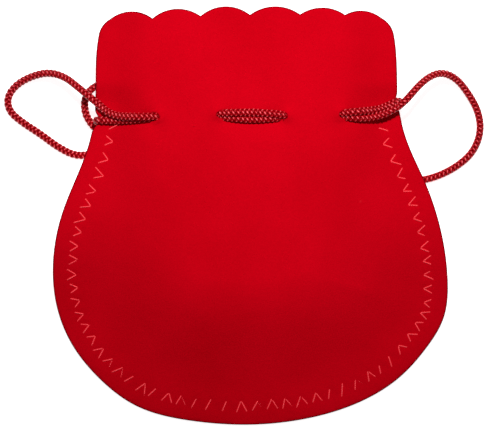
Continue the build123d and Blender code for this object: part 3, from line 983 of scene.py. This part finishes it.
def strand(line, frames, places, way, k):
    """(points, faces, fibre) of a flat strand of the braid, which passes over and under the others."""
    across, up = frames
    phase = 2 * math.pi * places / BRAID_PITCH
    over = way * np.cos(BRAID_STRANDS * phase)
    angle = (way * phase + (k + BRAID_START) * 2 * math.pi / BRAID_STRANDS)[:, None]
    out = across * np.cos(angle) + up * np.sin(angle)
    centre = line + out * (STRAND_REACH + STRAND_WAVE * over)[:, None]
    beside = np.cross(unit(np.gradient(centre, axis=0)), out)
    turn, ring = oval(STRAND_WIDE * beside, STRAND_THICK * out, STRAND_SIDES)
    # Painted highlight: lighter where a strand crosses over the others and faces outwards
    highlight = (0.5 + 0.5 * over)[:, None] * np.clip(np.sin(turn), 0, 1) ** HIGHLIGHT_POWER
    around = np.broadcast_to(turn * FIBRE_TURN, highlight.shape)
    along = np.broadcast_to(places[:, None] * FIBRE_STRETCH + FIBRE_SHIFT * k, highlight.shape)
    fibre = np.stack([around, along, highlight], axis=-1).reshape(-1, 3)
    return (centre[:, None] + ring).reshape(-1, 3), strip_faces(len(line), STRAND_SIDES), fibre


def braid(line, start=0.0):
    """A core with strands wound both ways round it, every one passing over and under the others."""
    line, places = even(line, BRAID_STEP)
    frames = turning_frames(line)
    parts = [tube(line, CORE_R, CORE_SIDES, start)]
    for way in (1, -1):
        parts += [strand(line, frames, places + start, way, k) for k in range(BRAID_STRANDS)]
    return joined(parts)


def cord_piece(name, line, made, start=0.0):
    """A braided piece of cord. start is how far along its cord it begins."""
    return mesh_piece(name, *braid(line, start), "fibre", [made])


def cut_line(line, low, high):
    """The part of a line between two distances along it."""
    line, places = even(line, FINE_STEP)
    slack = 0.6 * FINE_STEP
    return line[(places >= low - slack) & (places <= high + slack)]


def feed_end(line, sign):
    """How far along a cord its feed from the pull loop ends."""
    line, places = even(line, FINE_STEP)
    return next(place for point, place in zip(line, places) if sign * point[0] < FEED_START)


def overhand_knot(name, node, made, mirror):
    """A tight overhand knot, as a closed trefoil in the box of its CAD barrel."""
    low, high = (np.array(corner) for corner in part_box(node))
    centre, half = (low + high) / 2, (high - low) / 2 - CORD_R
    t = np.linspace(0, 2 * math.pi, KNOT_POINTS)
    knot = np.column_stack([
        mirror * (np.sin(t) + 2 * np.sin(2 * t)) / TREFOIL_REACH,
        (np.cos(t) - 2 * np.cos(2 * t)) / TREFOIL_REACH,
        -np.sin(3 * t) * TREFOIL_DEPTH,
    ])
    return cord_piece(name, centre + knot * half, made)


def melted_tip(line):
    """(points, faces, fibre) of the round blob at the end of a cord."""
    line, places = even(line, TIP_STEP)
    part = places / places[-1]
    swell = 0.82 + 0.16 * np.sin(part * 5)
    return tube(line, CORD_R * swell * np.sqrt(1.02 - part**4), TIP_SIDES)


def cord_tails(name, routes, made, sealed):
    """The short ends beyond a knot, each with a melted tip."""
    parts, slots = [], []
    for route in routes:
        line = nurbs_line(route)
        tail = braid(line[: int(len(line) * BRAID_TO)])
        tip = melted_tip(line[int(len(line) * TIP_FROM):])
        parts += [tail, tip]
        slots += [0] * len(tail[1]) + [1] * len(tip[1])
    return mesh_piece(name, *joined(parts), "fibre", [made, sealed], slots)


# ---------------- camera, light and floor


def add_camera():
    """Straight above the pouch, from far enough that it shows almost no perspective."""
    data = bpy.data.cameras.new("camera")
    data.lens = data.sensor_width * VIEW_DISTANCE / VIEW_WIDTH
    camera = in_scene("camera", data)
    camera.location = (*VIEW_CENTRE, VIEW_DISTANCE + TOP_Z)
    bpy.context.scene.camera = camera


def add_key_light():
    """A soft spot whose light falls off smoothly from its middle."""
    data = bpy.data.lights.new("key", "SPOT")
    data.spot_size = KEY_SPREAD
    data.spot_blend = 1
    data.shadow_soft_size = KEY_SOFTNESS
    data.energy = KEY_POWER
    lamp = in_scene("key", data)
    lamp.location = KEY_PLACE
    lamp.rotation_euler = (Vector(KEY_TARGET) - Vector(KEY_PLACE)).to_track_quat("-Z", "Y").to_euler()
    lamp.scale = KEY_OVAL


def add_sky():
    """Even white light from all round."""
    world = bpy.data.worlds.new("studio")
    bpy.context.scene.world = world
    world.use_nodes = True
    sky = world.node_tree.nodes["Background"]
    sky.inputs["Color"].default_value = WHITE
    sky.inputs["Strength"].default_value = SKY_STRENGTH
    bpy.context.scene.view_settings.view_transform = "Standard"


def add_floor():
    """A sheet of paper just below the pouch."""
    mesh = bpy.data.meshes.new("floor")
    corners = [(-1, -1), (1, -1), (1, 1), (-1, 1)]
    mesh.from_pydata([(FLOOR_HALF * x, FLOOR_HALF * y, 0) for x, y in corners], [], [(0, 1, 2, 3)])
    mesh.materials.append(studio_floor())
    floor = in_scene("floor", mesh)
    floor.location.z = -FLOOR_DROP


# ---------------- the pouch


def free_cord(side, mirror, loop_route, return_route, end_routes, cord_made, sealed):
    """The parts of a cord that slide with its pull loop."""
    knot = overhand_knot(f"{side}_overhand_knot", f"{side}_knot", cord_made, mirror)
    tails = cord_tails(f"{side}_sealed_ends", end_routes, cord_made, sealed)
    loop_line = nurbs_line(loop_route)
    loop = cord_piece(f"{side}_pull_cord", loop_line, cord_made)
    back = cord_piece(f"{side}_return_cord", nurbs_line(return_route), cord_made)
    for piece, node in ((knot, "knot"), (tails, "cord_ends"), (loop, "pull_loop"), (back, "return_strand")):
        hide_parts(f"{side}_{node}")
        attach(piece, f"{side}_loop")


def laced_cord(side, sign, route, made):
    """The laced part of a cord, and its two ends, which run on to the pull loop, as pieces of their own."""
    line = nurbs_line(route)
    total = even(line, FINE_STEP)[1][-1]
    first, last = feed_end(line, sign), total - feed_end(line[::-1], sign)
    middle = cord_piece(f"{side}_laced_cord", cut_line(line, first, last), made, first)
    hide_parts(f"{side}_cord_laced")
    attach(middle, "pouch")
    front = cord_piece(f"{side}_front_feed", cut_line(line, 0, first), made)
    back = cord_piece(f"{side}_back_feed", cut_line(line, last, total), made, last)
    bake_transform(front)
    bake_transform(back)
    return line


def panel_piece(panel, side, loop, stitches, cord_lines, materials):
    """One panel, bent round the cords. The back panel's flap droops past its fold."""
    plan = plan_mesh(loop, panel.holes, panel.half)
    flat, triangles, rim = plan
    free = panel.surface(flat, depth_inside(flat, side), stitches)
    height = hug(draw_in(flat), triangles, free, *outer_and_inner(cord_lines, panel), panel.out)
    rim_depth = depth_inside(loop, side)
    moved = height[:rim] - panel.surface(flat[:rim], rim_depth, stitches)
    edge_height = panel.surface(loop, rim_depth, stitches) + moved
    sheet = cloth(f"{panel.name}_velvet", plan, loop, height, edge_height, panel.out, materials)
    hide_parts(f"{panel.name}_panel", f"{panel.name}_flap")
    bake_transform(sheet)
    return sheet


def build_pouch(cord_lines):
    """Both panels and the two threads of their seam."""
    side, loop = outline()
    stitches = seam_stitches(side, STITCH_SEED)
    materials = [velvet(), lining(), cut_edge()]
    front = panel_piece(FRONT, side, loop, stitches, cord_lines, materials)
    back = panel_piece(BACK, side, loop, stitches, cord_lines, materials)
    # The seam thread takes a painted glow
    thread_made = yarn("seam_thread", THREAD_COLOURS, roughness=0.35, ior=1.6, painted_glow=0.14)
    thread("needle_thread", "seam_needle_thread", FRONT, side, stitches, thread_made, NEEDLE_SEED)
    thread("bobbin_thread", "seam_bobbin_thread", BACK, side, stitches, thread_made, BOBBIN_SEED)


add_camera()
add_key_light()
add_sky()
add_floor()
cord_made = yarn("satin_cord", CORD_COLOURS, roughness=0.34, ior=1.2, painted_glow=0.0)
sealed = melted()
free_cord("left", 1, LEFT_LOOP, LEFT_RETURN, LEFT_ENDS, cord_made, sealed)
free_cord("right", -1, RIGHT_LOOP, RIGHT_RETURN, RIGHT_ENDS, cord_made, sealed)
left_line = laced_cord("left", -1, LEFT_LACED, cord_made)
right_line = laced_cord("right", 1, RIGHT_LACED, cord_made)
build_pouch([left_line, right_line])
